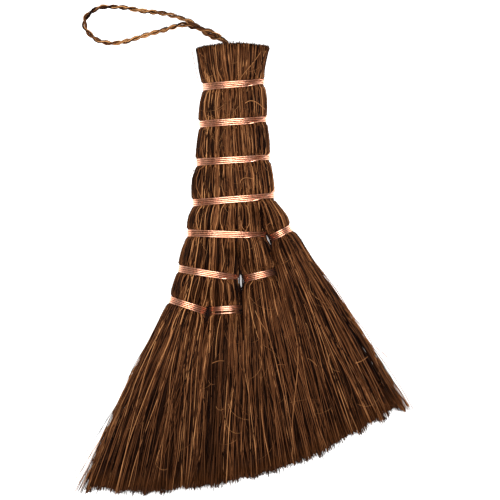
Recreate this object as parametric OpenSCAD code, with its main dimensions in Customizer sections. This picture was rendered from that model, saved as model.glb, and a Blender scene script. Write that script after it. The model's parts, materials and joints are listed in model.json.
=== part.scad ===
// Palm-fibre hand broom, lying flat: +Y towards the top of the neck, +Z up off the surface.
// Four fibre bundles share one bound neck and leave it one by one to spread into a fan.

/* [Broom] */
// Width of the neck at the fourth binding
neck_w = 50; // [36:0.2:60]
// Thickness of the neck where it is fullest
neck_t = 28; // [20:0.5:34]
// Length of the neck, from the fourth binding to its cut edge
neck_len = 90.4; // [70:0.2:120]
// Width of the fan at its tips
brush_w = 188; // [150:1:230]
// Length of the brush, from the fourth binding to its lowest tips
brush_len = 179; // [145:1:220]
// Thickness of the fan near its tips
brush_t = 25; // [18:0.5:32]

/* [Cut edges] */
// Rise of the neck's cut edge at its middle
cut_crown = 2.3; // [0:0.1:6]
// How far the fibres that touch the surface are pressed flat
rest_flat = 0.7; // [0.2:0.1:1.5]
// Gap between neighbouring bundles
seam_gap = 0.3; // [0.1:0.05:0.6]

/* [Copper wire] */
// Diameter of the wire
wire_d = 1; // [0.6:0.1:1.4]
// Turns in each binding
wire_turns = 4; // [3:1:5]
// Distance between turns, as a share of the wire's diameter
turn_share = 0.96; // [0.9:0.01:0.98]
// Clearance between the wire and the fibres under it
seat_gap = 0.05; // [0.02:0.01:0.2]
// Flat waist beyond the outer turns
seat_margin = 0.4; // [0.1:0.1:1]
// Length over which the fibres rise from the waist to the wire's own level
seat_slope = 1.4; // [0.6:0.1:3]

/* [Palm rope] */
// Diameter of the rope
rope_d = 2.8; // [1.8:0.1:3.4]
// Clearance round the rope inside the neck and at its bead
rope_gap = 0.3; // [0.2:0.05:0.6]
// Height of the rope's root above the cut edge
root_rise = 1.8; // [1:0.1:4]
// Depth of the knot's middle below the cut edge
knot_depth = 24; // [16:1:40]
// Width of the knot
knot_w = 9.2; // [7:0.2:12]
// Length of the knot
knot_len = 9; // [6:0.5:14]

/* [Hidden] */

// Outlines are drawn at these sizes, from the middle of the fourth binding, and stretched to the ones above
drawn = [50, 28, 90.4, 188, 179];

// Steps across a bundle's section
steps = 12;
// How near a rounded edge comes to its oval's very end
round_edge = 0.995;
// Where a bundle in the fan is cut off by its neighbour
cut_edge = 0.5;
// How far along a freed bundle the bulge beside it stands, and the gap between them there
fork_share = 0.47;
fork_gap = 1.1;
// End radius of an oval, as a share of half its thickness
end_share = 0.6;
// Flats across each turn of wire, and round a band's ends and its top and bottom
turn_steps = 3;
end_flats = 5;
top_flats = 9;
rope_sides = 8;

turn_pitch = turn_share * wire_d;
band_half = (wire_turns - 1) / 2 * turn_pitch + wire_d / 2;
seat_half = band_half + seat_margin;
mid_z = neck_t / 2 - rest_flat / 2;

function in_neck(p) = [p.x * neck_w / drawn[0], p.y * neck_len / drawn[2]];
function in_brush(p) = [p.x * brush_w / drawn[3], p.y * brush_len / drawn[4]];
function mix(a, b, t) = a + (b - a) * t;
function unit(v) = v / norm(v);
function across(p, q) = unit(q - p);
function along(p, q) = [-across(p, q).y, across(p, q).x];

// ---- Ovals of four arcs: half width a, half thickness b, end radius r ----
function flat_radius(a, b, r) = ((a - r) * (a - r) + b * b - r * r) / (2 * (b - r));
function join_angle(a, b, r) = atan2(flat_radius(a, b, r) - b, a - r);
function oval_z(x, a, b, r) =
    let(big = flat_radius(a, b, r), joint = a - r + r * cos(join_angle(a, b, r)))
    abs(x) <= joint
        ? sqrt(big * big - x * x) - big + b
        : sqrt(max(0, r * r - pow(abs(x) - a + r, 2)));

// ---- Sections ----
// Where the bundles meet across the neck, at its cut edge and at the fourth binding
seams_cut = [0, 0.24, 0.43, 0.73, 1];
seams_low = [0, 0.3, 0.56, 0.81, 1];
// The same where only three, and then two, bundles are left
seams_three = [0, 0.33, 0.66, 1];
seams_two = [0, 0.58, 1];

// Each tie is [left, right, thickness over width, mid height]
ties = [
    [in_brush([-38.6, -59.7]), in_brush([-16, -67.2]), 0.66, 0.86],
    [in_brush([-14.5, -66.9]), in_brush([5.6, -65.5]), 0.7, 0.86],
    [in_brush([5.6, -47.6]), in_brush([25.8, -42.9]), 0.7, 0.88],
    [in_brush([21.6, -23.6]), in_brush([35, -16.7]), 0.9, 0.9],
];

// Where the bound bundles end beside one that has just left them: between its seam in the binding and its tie
function beside(wire, share, tie) =
    mix(mix(wire[0], wire[1], share), tie[0], fork_share) - [fork_gap, 0];

// Each is [left, right, half thickness, mid height]; a binding's ends are the wire's outer edges
cut = [in_neck([-22.5, 89.8]), in_neck([21.5, 90.8]), 13.6, 1];
flare = [in_neck([-21.7, 85]), in_neck([20.2, 85.6]), 13.2, 1];
throat = [in_neck([-20.6, 77]), in_neck([18.7, 78]), 12.8, 1];
wire_1 = [in_neck([-18.9, 67.4]), in_neck([18.7, 70.3]), 11.2, 1];
bulge_1 = [in_neck([-20.4, 56.2]), in_neck([20.2, 58.2]), 13.2, 1];
wire_2 = [in_neck([-20.9, 45.1]), in_neck([20.2, 47.7]), 11.7, 1];
bulge_2 = [in_neck([-22.2, 32.7]), in_neck([21.5, 34.7]), 13.6, 1];
wire_3 = [in_neck([-22.7, 22.3]), in_neck([22.1, 24.9]), 12, 1];
bulge_3 = [in_neck([-25.3, 9.2]), in_neck([24, 11.2]), 14, 1];
wire_4 = [in_neck([-25, -2]), in_neck([25, 2]), 12.2, 1];
bulge_4 = [in_brush([-27.3, -11]), beside(wire_4, seams_low[3], ties[3]), 13.2, 0.97];
wire_5 = [in_brush([-28.2, -20]), in_brush([19.7, -21.5]), 11.4, 0.95];
bulge_5 = [in_brush([-31.5, -31.3]), beside(wire_5, seams_three[2], ties[2]), 12.4, 0.93];
wire_6 = [in_brush([-33.6, -41.2]), in_brush([3, -47.3]), 10.6, 0.9];

// Where the tips of one bundle end and the next begin
tips = [
    in_brush([-86.5, -173.6]), in_brush([-26.5, -173.8]), in_brush([12.8, -167.3]),
    in_brush([54.9, -152.3]), in_brush([101, -124.6]),
];
// How far the middle of each bundle's tips stands below the line between its corners
tip_crown = [4, 1.5, 1.5, 0.5];
// How far the fan's two outer edges bow outward
belly = [2.5, 2.2];
// Stages down the fan: [share of the way to the tips, share of the full thickness]
stages = [[0.14, 0.84], [0.42, 0.96], [0.72, 1], [1, 1]];

function seam(i, y) =
    mix(seams_low[i], seams_cut[i], max(0, min(1, y / neck_len)));

// A section cut down to what lies between two seams
function slice(left, right, b, z, f0, f1) =
    let(
        w = norm(right - left),
        g0 = f0 > 0 ? f0 + seam_gap / 2 / w : (1 - round_edge) / 2,
        g1 = f1 < 1 ? f1 - seam_gap / 2 / w : (1 + round_edge) / 2
    )
    [mix(left, right, g0), mix(left, right, g1), b, z, 2 * g0 - 1, 2 * g1 - 1, 0];

// The fibres' outline under a wire, which presses them in by its own diameter, and at its rims, which it doesn't.
// side is 1 and -1 for the waist's two edges, and 2 and -2 for the rims beyond them
function seat(w, side) =
    let(
        rim = abs(side) > 1,
        inset = rim ? [0, 0] : (wire_d + seat_gap) * across(w[0], w[1]),
        shift = sign(side) * (seat_half + (rim ? seat_slope : 0)) * along(w[0], w[1])
    )
    [w[0] + inset + shift, w[1] - inset + shift];
function seat_b(b, side) = b + (abs(side) > 1 ? wire_d : 0);
function neck_b(b) = b * neck_t / drawn[1];

function group(s, f0, f1) = slice(s[0], s[1], neck_b(s[2]), mid_z * s[3], f0, f1);
function bound(w, side, f0, f1) =
    slice(seat(w, side)[0], seat(w, side)[1], seat_b(neck_b(w[2]), side), mid_z * w[3], f0, f1);

// All four bundles share these, from the cut edge down to the fourth binding
around = [2, 1, -1, -2];
function shared(i) = [
    for (s = [
        [cut, [0]], [flare, [0]], [throat, [0]], [wire_1, around], [bulge_1, [0]], [wire_2, around],
        [bulge_2, [0]], [wire_3, around], [bulge_3, [0]], [wire_4, around],
    ])
    for (side = s[1])
    let(y = (s[0][0].y + s[0][1].y) / 2, f0 = seam(i, y), f1 = seam(i + 1, y))
    side == 0 ? group(s[0], f0, f1) : bound(s[0], side, f0, f1)
];
function three(i) = [
    group(bulge_4, seams_three[i], seams_three[i + 1]),
    for (side = around) bound(wire_5, side, seams_three[i], seams_three[i + 1])
];
function two(i) = [
    group(bulge_5, seams_two[i], seams_two[i + 1]),
    for (side = around) bound(wire_6, side, seams_two[i], seams_two[i + 1])
];
function tie_b(i) = ties[i][2] * (norm(ties[i][1] - ties[i][0]) / 2 - wire_d - seat_gap);
function tied(i) = [
    for (side = around)
    slice(seat(ties[i], side)[0], seat(ties[i], side)[1], seat_b(tie_b(i), side), mid_z * ties[i][3], 0, 1)
];
function fanned(i) =
    let(
        top = tied(i)[3],
        gap = seam_gap / 2 * across(tips[i], tips[i + 1]),
        low_left = tips[i] + (i > 0 ? gap : [0, 0]),
        low_right = tips[i + 1] - (i < 3 ? gap : [0, 0])
    )
    [
        for (s = stages)
        let(
            bow = sin(180 * s[0]),
            left = mix(top[0], low_left, s[0]) - (i == 0 ? [belly[0] * bow, 0] : [0, 0]),
            right = mix(top[1], low_right, s[0]) + (i == 3 ? [belly[1] * bow, 0] : [0, 0]),
            b = brush_t / 2 * s[1]
        )
        [left, right, b, mix(top[3], brush_t / 2 - rest_flat, min(1, 2 * s[0])),
         i == 0 ? -round_edge : -cut_edge, i == 3 ? round_edge : cut_edge, s[0] == 1 ? -tip_crown[i] : 0]
    ];

// The stations of each bundle, from the cut edge to the tips
function crowned(list) =
    [for (k = [0:len(list) - 1]) k > 0 ? list[k] : [for (j = [0:6]) j < 6 ? list[0][j] : cut_crown]];
function stations(i) = concat(
    crowned(shared(i)), i < 3 ? three(i) : [], i < 2 ? two(i) : [], tied(i), fanned(i)
);

// Rise of the cut edge at x, which is one arc over the whole neck
function cut_rise(x) = cut_crown * (1 - pow((x - (cut[0].x + cut[1].x) / 2) / ((cut[1].x - cut[0].x) / 2), 2));

// One ring of points round a station: over the top from left to right, then back underneath
function ring(s) =
    let(
        a = norm(s[1] - s[0]) / (s[5] - s[4]),
        n = along(s[0], s[1]),
        t = [for (k = [0:steps]) (1 - cos(180 * k / steps)) / 2],
        p = [for (v = t) mix(s[0], s[1], v)],
        lift = [for (k = [0:steps]) s[6] > 0 ? cut_rise(p[k].x) : s[6] * 4 * t[k] * (1 - t[k])],
        z = [for (v = t) oval_z(mix(s[4], s[5], v) * a, a, s[2], end_share * s[2])]
    )
    concat(
        [for (k = [0:steps]) concat(p[k] + lift[k] * n, s[3] + z[k])],
        [for (k = [steps:-1:0]) concat(p[k] + lift[k] * n, max(0, s[3] - z[k]))]
    );
rings = [for (i = [0:3]) [for (s = stations(i)) ring(s)]];

// The origin is below the middle of the broom's box, without its rope
flat_points = [for (b = rings) for (r = b) for (p = r) p];
middle = [
    (min([for (p = flat_points) p.x]) + max([for (p = flat_points) p.x])) / 2,
    (min([for (p = flat_points) p.y]) + max([for (p = flat_points) p.y])) / 2,
];

// ---- Rope ----
root_x = mix(cut[0].x, cut[1].x, seams_cut[2]);
root = [root_x, neck_len + cut_rise(root_x) + root_rise, mid_z];
bead_r = rope_d;
leg_half = rope_d / 2 + rope_gap / 2;
pair_from = 1.25 * bead_r + rope_gap;
pair_to = 26;
pair_turn = 270;
pair_points = 8;
pair_dir = unit([-2, 1]);
pair_side = [-pair_dir.y, pair_dir.x];
// Height along the twisted pair and the open loop, from 1 at the root to 0 on the surface
pair_low = 0.5;
// The open loop from its upper leg round to its lower one: [x, y from the root, height]
loop_route = [
    [-28, 14.7, 0.42], [-34, 16.8, 0.26], [-40, 18, 0.12], [-47.5, 19, 0.03], [-55, 20, 0],
    [-62.5, 21.5, 0], [-70, 22, 0], [-77.5, 21.5, 0], [-82.5, 18.5, 0], [-86, 14.5, 0],
    [-86, 9.5, 0], [-82.5, 5, 0], [-77.5, 1.5, 0], [-70, 0, 0], [-62.5, 1, 0],
    [-55, 3, 0], [-47.5, 5.5, 0.03], [-40, 7.5, 0.12], [-34, 9.2, 0.26], [-28, 10.8, 0.42],
];
function rope_z(h) = mix(rope_d / 2, root.z, h);
function pair_point(k, leg) =
    let(
        f = k / (pair_points - 1),
        s = mix(pair_from, pair_to, f),
        turn = pair_turn * f,
        side = -leg * leg_half * sin(turn)
    )
    concat(
        [root.x, root.y] - side * pair_side + s * pair_dir,
        rope_z(mix(1, pair_low, f)) + leg * leg_half * cos(turn)
    );
route = concat(
    [for (k = [0:pair_points - 1]) pair_point(k, 1)],
    [for (p = loop_route) [root.x + p.x, root.y + p.y, rope_z(p.z)]],
    [for (k = [pair_points - 1:-1:0]) pair_point(k, -1)]
);

// ---- Solids ----
module place() {
    translate([-middle.x, -middle.y, 0]) children();
}

// Rings of equal length joined into one closed skin
module skin(rings) {
    n = len(rings[0]);
    m = len(rings);
    half = n / 2;
    sides = [
        for (i = [0:m - 2]) for (j = [0:n - 1])
        let(a = i * n + j, b = i * n + (j + 1) % n)
        each [[a, b, b + n], [a, b + n, a + n]]
    ];
    caps = [
        for (j = [0:half - 2])
        each [
            [j, n - 1 - j, n - 2 - j, j + 1],
            [for (k = [j + 1, n - 2 - j, n - 1 - j, j]) k + (m - 1) * n],
        ]
    ];
    polyhedron(points = [for (r = rings) each r], faces = concat(sides, caps), convexity = 6);
}

module bundle(i) {
    color("#4a2f1c") place() skin(rings[i]);
}

// The way through the fibres for the rope and its knot
module rope_way() {
    translate([root.x, root.y - root_rise - knot_depth, mid_z]) rotate([-90, 0, 0]) {
        cylinder(r = bead_r + rope_gap, h = knot_depth + 2 * root_rise, $fn = 32);
        translate([0, 0, -knot_len / 2 - rope_gap])
            cylinder(d = knot_w + 2 * rope_gap, h = knot_len + 2 * rope_gap, $fn = 32);
    }
}

module threaded_bundle(i) {
    color("#4a2f1c") place() difference() {
        skin(rings[i]);
        rope_way();
    }
}

module bundle_left() { bundle(0); }
module bundle_mid_left() { threaded_bundle(1); }
module bundle_mid_right() { threaded_bundle(2); }
module bundle_right() { bundle(3); }

// A band's section, [outward from the wire's middle, along the band]: turns grown together, flat underneath
turns = concat(
    [
        for (k = [0:wire_turns - 1]) for (j = [0:turn_steps])
        let(meet = asin(turn_share), turn = mix(-meet, meet, j / turn_steps))
        if (j > 0 || k == 0)
            [cos(turn), sin(turn) + (2 * k - wire_turns + 1) * turn_share] * wire_d / 2
    ],
    [[-wire_d / 2, band_half - wire_d / 4], [-wire_d / 2, wire_d / 4 - band_half]]
);

// Places round an oval of four arcs, each [centre, radius, direction]; the flats between them touch the arcs
function round_places(a, b, r) =
    let(
        big = flat_radius(a, b, r),
        join = join_angle(a, b, r),
        arcs = [
            [[a - r, 0], r, -join, join, end_flats], [[0, b - big], big, join, 180 - join, top_flats],
            [[r - a, 0], r, 180 - join, 180 + join, end_flats],
            [[0, big - b], big, 180 + join, 360 - join, top_flats],
        ]
    )
    [
        for (c = arcs) for (k = [0:c[4] - 1])
        let(step = (c[3] - c[2]) / c[4], turn = c[2] + (k + 0.5) * step)
        [c[0], c[1], [cos(turn), sin(turn)] / cos(step / 2)]
    ];

// A band round an oval of fibres with the half sizes a and b and the end radius r
module band(a, b, r) {
    places = round_places(a, b, r);
    n = len(turns);
    m = len(places);
    points = [
        for (c = places) for (q = turns)
        let(p = c[0] + (c[1] + seat_gap + wire_d / 2 + q.x) * c[2])
        [p.x, q.y, p.y]
    ];
    faces = [
        for (i = [0:m - 1]) for (j = [0:n - 1])
        let(a0 = i * n + j, a1 = i * n + (j + 1) % n, b0 = (i + 1) % m * n + j, b1 = (i + 1) % m * n + (j + 1) % n)
        each [[a0, b0, b1], [a0, b1, a1]]
    ];
    polyhedron(points = points, faces = faces, convexity = 4);
}

module wire_at(left, right, b, z) {
    a = norm(right - left) / 2 - wire_d - seat_gap;
    dir = across(left, right);
    color("#b5764f") place() translate(concat((left + right) / 2, z))
        rotate([0, 0, atan2(dir.y, dir.x)]) band(a, b, end_share * b);
}
module neck_wire(w) { wire_at(w[0], w[1], neck_b(w[2]), mid_z * w[3]); }
module tie(i) { wire_at(ties[i][0], ties[i][1], tie_b(i), mid_z * ties[i][3]); }

module neck_wire_1() { neck_wire(wire_1); }
module neck_wire_2() { neck_wire(wire_2); }
module neck_wire_3() { neck_wire(wire_3); }
module neck_wire_4() { neck_wire(wire_4); }
module neck_wire_5() { neck_wire(wire_5); }
module neck_wire_6() { neck_wire(wire_6); }
module tie_left() { tie(0); }
module tie_mid_left() { tie(1); }
module tie_mid_right() { tie(2); }
module tie_right() { tie(3); }

// A tube of rope_sides sides along the route
module hanging_loop() {
    last = len(route) - 1;
    tube = [
        for (k = [0:last])
        let(
            t = unit(route[min(k + 1, last)] - route[max(k - 1, 0)]),
            side = unit(cross(t, [0, 0, 1])),
            up = cross(side, t)
        )
        [for (j = [0:rope_sides - 1])
            route[k] + rope_d / 2 * (cos(360 * j / rope_sides) * side + sin(360 * j / rope_sides) * up)]
    ];
    faces = concat(
        [for (k = [0:last - 1]) for (j = [0:rope_sides - 1])
            let(a = k * rope_sides + j, b = k * rope_sides + (j + 1) % rope_sides)
            each [[a, b, b + rope_sides], [a, b + rope_sides, a + rope_sides]]],
        [[for (j = [rope_sides - 1:-1:0]) j]],
        [[for (j = [0:rope_sides - 1]) last * rope_sides + j]]
    );
    color("#3c2a1e") place() polyhedron(points = [for (r = tube) each r], faces = faces, convexity = 8);
}

module loop_tail() {
    long = knot_depth + root_rise - knot_len / 2;
    color("#3c2a1e") place() translate(root) {
        sphere(r = bead_r, $fn = 32);
        for (leg = [1, -1]) translate([0, 0, 0.98 * leg * rope_d / 2]) rotate([90, 0, 0])
            cylinder(d = rope_d, h = long, $fn = 32);
    }
}

module loop_knot() {
    wraps = 3;
    wrap_d = knot_len / wraps;
    color("#3c2a1e") place() translate([root.x, root.y - root_rise - knot_depth, mid_z])
        rotate([-90, 0, 0]) rotate_extrude($fn = 32) {
            translate([0, -knot_len / 2]) square([knot_w / 2 - wrap_d / 2, knot_len]);
            for (k = [0:wraps - 1])
                translate([knot_w / 2 - wrap_d / 2, (k - (wraps - 1) / 2) * wrap_d])
                    circle(d = wrap_d, $fn = 32);
        }
}

bundle_left();
bundle_mid_left();
bundle_mid_right();
bundle_right();
neck_wire_1();
neck_wire_2();
neck_wire_3();
neck_wire_4();
neck_wire_5();
neck_wire_6();
tie_left();
tie_mid_left();
tie_mid_right();
tie_right();
hanging_loop();
loop_tail();
loop_knot();
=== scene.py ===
"""A palm-fibre hand broom bound with copper wire, lying flat on a pale floor.

Everything is in the broom's own frame: +Y towards the top of the neck, +Z up, metres.
Outlines are written in millimetres from the middle of the fourth binding, as the CAD model draws them.
"""

import json
import math

import bpy
import numpy as np
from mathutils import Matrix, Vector
from mathutils.bvhtree import BVHTree


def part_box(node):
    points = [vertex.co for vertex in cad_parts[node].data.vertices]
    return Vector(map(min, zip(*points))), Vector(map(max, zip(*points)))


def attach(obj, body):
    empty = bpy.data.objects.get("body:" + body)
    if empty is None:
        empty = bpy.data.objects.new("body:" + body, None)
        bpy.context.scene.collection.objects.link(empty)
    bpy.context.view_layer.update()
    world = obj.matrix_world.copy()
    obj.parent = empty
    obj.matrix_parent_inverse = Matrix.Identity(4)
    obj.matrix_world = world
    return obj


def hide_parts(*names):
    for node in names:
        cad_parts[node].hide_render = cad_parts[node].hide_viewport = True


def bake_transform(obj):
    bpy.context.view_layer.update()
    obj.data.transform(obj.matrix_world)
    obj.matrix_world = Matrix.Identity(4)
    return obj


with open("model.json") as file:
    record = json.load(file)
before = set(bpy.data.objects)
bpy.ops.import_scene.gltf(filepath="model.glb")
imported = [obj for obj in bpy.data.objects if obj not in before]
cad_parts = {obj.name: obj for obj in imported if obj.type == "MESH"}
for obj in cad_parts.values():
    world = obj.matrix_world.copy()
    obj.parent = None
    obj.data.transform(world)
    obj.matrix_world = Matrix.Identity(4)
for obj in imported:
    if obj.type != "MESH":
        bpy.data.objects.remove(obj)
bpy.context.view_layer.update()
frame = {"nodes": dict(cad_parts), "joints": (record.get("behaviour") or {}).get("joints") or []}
MM = 0.001

# ---------------------------------------------------------------- places taken from the frame
BUNDLES = ["bundle_left", "bundle_mid_left", "bundle_mid_right", "bundle_right"]
NECK_WIRES = [f"neck_wire_{k}" for k in range(1, 7)]
TIES = ["tie_left", "tie_mid_left", "tie_mid_right", "tie_right"]


def box_middle(node):
    low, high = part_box(node)
    return np.array((low + high) / 2)


# The outlines' origin is the middle of the fourth binding, and the rope swings about its root
ORIGIN = box_middle("neck_wire_4")
MID_Z = ORIGIN[2]
ROOT = np.array(frame["joints"][0]["pos_m"])

# ---------------------------------------------------------------- driving sizes, millimetres
NECK_LEN = 90.4
CUT_CROWN = 2.3
REST_FLAT = 0.7
SEAM_GAP = 0.3
BRUSH_T = 25.0
WIRE_D = 1.0
WIRE_TURNS = 4
WIRE_PITCH = 0.96
SEAT_GAP = 0.05
SEAT_MARGIN = 0.15
SEAT_SLOPE = 0.8
ROPE_D = 2.8
END_SHARE = 0.6
ROUND_EDGE = 0.995
CUT_EDGE = 0.5
# The lowest that the middle of a surface fibre or a rope strand may lie
LOWEST = 0.2
SEAT_HALF = (WIRE_TURNS - 1) / 2 * WIRE_PITCH + WIRE_D / 2 + SEAT_MARGIN


def xy(x, y):
    return np.array([x, y], float)


def mix(a, b, t):
    return a + (b - a) * t


def unit(v):
    return v / np.linalg.norm(v)


def across(p, q):
    return unit(q - p)


def along(p, q):
    d = across(p, q)
    return xy(-d[1], d[0])


def soft_step(t):
    t = np.clip(t, 0, 1)
    return t * t * (3 - 2 * t)


# ---------------------------------------------------------------- the broom's sections
# Where the bundles meet across the neck: at its cut edge, at the fourth binding, and with three and two left
SEAMS_CUT = [0, 0.24, 0.43, 0.73, 1]
SEAMS_LOW = [0, 0.3, 0.56, 0.81, 1]
SEAMS_THREE = [0, 0.33, 0.66, 1]
SEAMS_TWO = [0, 0.58, 1]

# Each is left, right, half thickness, height of the middle as a share of MID_Z
CUT = (xy(-22.5, 89.8), xy(21.5, 90.8), 13.6, 1)
FLARE = (xy(-21.7, 85), xy(20.2, 85.6), 13.2, 1)
THROAT = (xy(-20.6, 77), xy(18.7, 78), 12.8, 1)
WIRE_1 = (xy(-18.9, 67.4), xy(18.7, 70.3), 11.2, 1)
BULGE_1 = (xy(-20.4, 56.2), xy(20.2, 58.2), 13.2, 1)
WIRE_2 = (xy(-20.9, 45.1), xy(20.2, 47.7), 11.7, 1)
BULGE_2 = (xy(-22.2, 32.7), xy(21.5, 34.7), 13.6, 1)
WIRE_3 = (xy(-22.7, 22.3), xy(22.1, 24.9), 12, 1)
BULGE_3 = (xy(-25.3, 9.2), xy(24, 11.2), 14, 1)
WIRE_4 = (xy(-25, -2), xy(25, 2), 12.2, 1)
BULGE_4 = (xy(-27.3, -11), xy(17.1, -10.7), 13.2, 0.97)
WIRE_5 = (xy(-28.2, -20), xy(19.7, -21.5), 11.4, 0.95)
BULGE_5 = (xy(-31.5, -31.3), xy(3.3, -33.5), 12.4, 0.93)
WIRE_6 = (xy(-33.6, -41.2), xy(3, -47.3), 10.6, 0.9)
RINGS = [WIRE_1, WIRE_2, WIRE_3, WIRE_4, WIRE_5, WIRE_6]
# Each tie is left, right, thickness over width, height of the middle
TIE_OUTLINES = [
    (xy(-38.6, -59.7), xy(-16, -67.2), 0.66, 0.86),
    (xy(-14.5, -66.9), xy(5.6, -65.5), 0.7, 0.86),
    (xy(5.6, -47.6), xy(25.8, -42.9), 0.7, 0.88),
    (xy(21.6, -23.6), xy(35, -16.7), 0.9, 0.9),
]
TIPS = [xy(-86.5, -173.6), xy(-26.5, -173.8), xy(12.8, -167.3), xy(54.9, -152.3), xy(101, -124.6)]
TIP_CROWN = [4, 1.5, 1.5, 0.5]
BELLY = (2.5, 2.2)
# Down the fan: share of the way to the tips, share of the full thickness
STAGES = [(0.14, 0.84), (0.42, 0.96), (0.72, 1.0), (1.0, 1.0)]


def oval_height(x, a, b, r):
    """Half height at x of an oval of four arcs, with half sizes a and b and the end radius r."""
    big = ((a - r) ** 2 + b * b - r * r) / (2 * (b - r))
    joint = a - r + r * math.cos(math.atan2(big - b, a - r))
    x = np.minimum(np.abs(x), a)
    flat = np.sqrt(np.maximum(big * big - x * x, 0)) - big + b
    end = np.sqrt(np.maximum(r * r - (x - a + r) ** 2, 0))
    return np.where(x <= joint, flat, end)


class Station:
    """One section of a bundle. at(u, w) gives points: u from left to right, w from underside to top."""

    def __init__(self, left, right, b, z, v0, v1, lift=0.0):
        self.left, self.right, self.b, self.z = left, right, b, z
        self.v0, self.v1, self.lift = v0, v1, lift
        self.waist = False

    def height(self, u):
        a = np.linalg.norm(self.right - self.left) / (self.v1 - self.v0)
        return oval_height(mix(self.v0, self.v1, np.clip(u, 0, 1)) * a, a, self.b, END_SHARE * self.b)

    def middle(self):
        return (self.left + self.right) / 2

    def at(self, u, w):
        flat = self.left + (self.right - self.left) * u[:, None]
        if self.lift > 0:
            middle, half = (CUT[1][0] + CUT[0][0]) / 2, (CUT[1][0] - CUT[0][0]) / 2
            rise = self.lift * (1 - ((flat[:, 0] - middle) / half) ** 2)
        else:
            rise = self.lift * 4 * u * (1 - u)
        flat = flat + rise[:, None] * along(self.left, self.right)
        return np.column_stack([flat, np.maximum(self.z + w * self.height(u), 0.25)])


def cut_slice(left, right, b, z, f0, f1):
    w = np.linalg.norm(right - left)
    g0 = f0 + SEAM_GAP / 2 / w if f0 > 0 else (1 - ROUND_EDGE) / 2
    g1 = f1 - SEAM_GAP / 2 / w if f1 < 1 else (1 + ROUND_EDGE) / 2
    return Station(mix(left, right, g0), mix(left, right, g1), b, z, 2 * g0 - 1, 2 * g1 - 1)


def seat(outline, side):
    """The fibres' edges at a binding: side is 1 or -1 at its waist and 2 or -2 at the rims beyond."""
    rim = abs(side) > 1
    inset = 0 if rim else (WIRE_D + SEAT_GAP) * across(outline[0], outline[1])
    shift = math.copysign(SEAT_HALF + SEAT_SLOPE * rim, side) * along(outline[0], outline[1])
    return outline[0] + inset + shift, outline[1] - inset + shift


def grouped(outline, side, f0, f1):
    """A section of one bundle among its neighbours: free when side is 0, else beside a binding."""
    left, right = (outline[0], outline[1]) if side == 0 else seat(outline, side)
    thick = outline[2] + WIRE_D * (abs(side) > 1)
    return cut_slice(left, right, thick, MID_Z / MM * outline[3], f0, f1)


def tie_thickness(i):
    left, right, share, _ = TIE_OUTLINES[i]
    return share * (np.linalg.norm(right - left) / 2 - WIRE_D - SEAT_GAP)


AROUND = (2, 1, -1, -2)


def free_and_bound(pairs, seams):
    """The sections at a run of bulges and bindings, for seams that depend on the section's height."""
    made = []
    for outline, bound in pairs:
        for side in AROUND if bound else (0,):
            made.append(grouped(outline, side, *seams((outline[0][1] + outline[1][1]) / 2)))
            made[-1].waist = abs(side) == 1
    return made


def stations(i):
    """The sections of bundle i, from the cut edge to the tips."""

    def neck_seams(y):
        share = np.clip(y / NECK_LEN, 0, 1)
        return [mix(SEAMS_LOW[k], SEAMS_CUT[k], share) for k in (i, i + 1)]

    neck = [(CUT, 0), (FLARE, 0), (THROAT, 0), (WIRE_1, 1), (BULGE_1, 0), (WIRE_2, 1)]
    neck += [(BULGE_2, 0), (WIRE_3, 1), (BULGE_3, 0), (WIRE_4, 1)]
    made = free_and_bound(neck, neck_seams)
    made[0].lift = CUT_CROWN
    if i < 3:
        made += free_and_bound([(BULGE_4, 0), (WIRE_5, 1)], lambda y: SEAMS_THREE[i : i + 2])
    if i < 2:
        made += free_and_bound([(BULGE_5, 0), (WIRE_6, 1)], lambda y: SEAMS_TWO[i : i + 2])
    tie = TIE_OUTLINES[i]
    for side in AROUND:
        left, right = seat(tie, side)
        thick = tie_thickness(i) + WIRE_D * (abs(side) > 1)
        made.append(cut_slice(left, right, thick, MID_Z / MM * tie[3], 0, 1))
        made[-1].waist = abs(side) == 1
    top = made[-1]
    gap = SEAM_GAP / 2 * across(TIPS[i], TIPS[i + 1])
    low_left = TIPS[i] + (gap if i > 0 else 0)
    low_right = TIPS[i + 1] - (gap if i < 3 else 0)
    for share, thick in STAGES:
        bow = math.sin(math.pi * share)
        left = mix(top.left, low_left, share) - xy(BELLY[0] * bow * (i == 0), 0)
        right = mix(top.right, low_right, share) + xy(BELLY[1] * bow * (i == 3), 0)
        z = mix(top.z, BRUSH_T / 2 - REST_FLAT, min(1, 2 * share))
        made.append(
            Station(
                left, right, BRUSH_T / 2 * thick, z,
                -ROUND_EDGE if i == 0 else -CUT_EDGE,
                ROUND_EDGE if i == 3 else CUT_EDGE,
                -TIP_CROWN[i] if share == 1 else 0.0,
            )
        )
    return made


STATIONS = [stations(i) for i in range(4)]
# How far down its bundle each section stands
REACH = [
    np.concatenate([[0], np.cumsum([np.linalg.norm(b.middle() - a.middle()) for a, b in zip(s, s[1:])])])
    for s in STATIONS
]


def wire_reaches(i):
    """Where the bindings stand along bundle i."""
    waists = [r for r, s in zip(REACH[i], STATIONS[i]) if s.waist]
    return [(a + b) / 2 for a, b in zip(waists[::2], waists[1::2])]


TIE_REACH = [wire_reaches(i)[-1] for i in range(4)]


def placed(points):
    """Millimetres from the fourth binding to metres in the broom's frame."""
    return np.asarray(points) * MM + np.array([ORIGIN[0], ORIGIN[1], 0])


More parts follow.
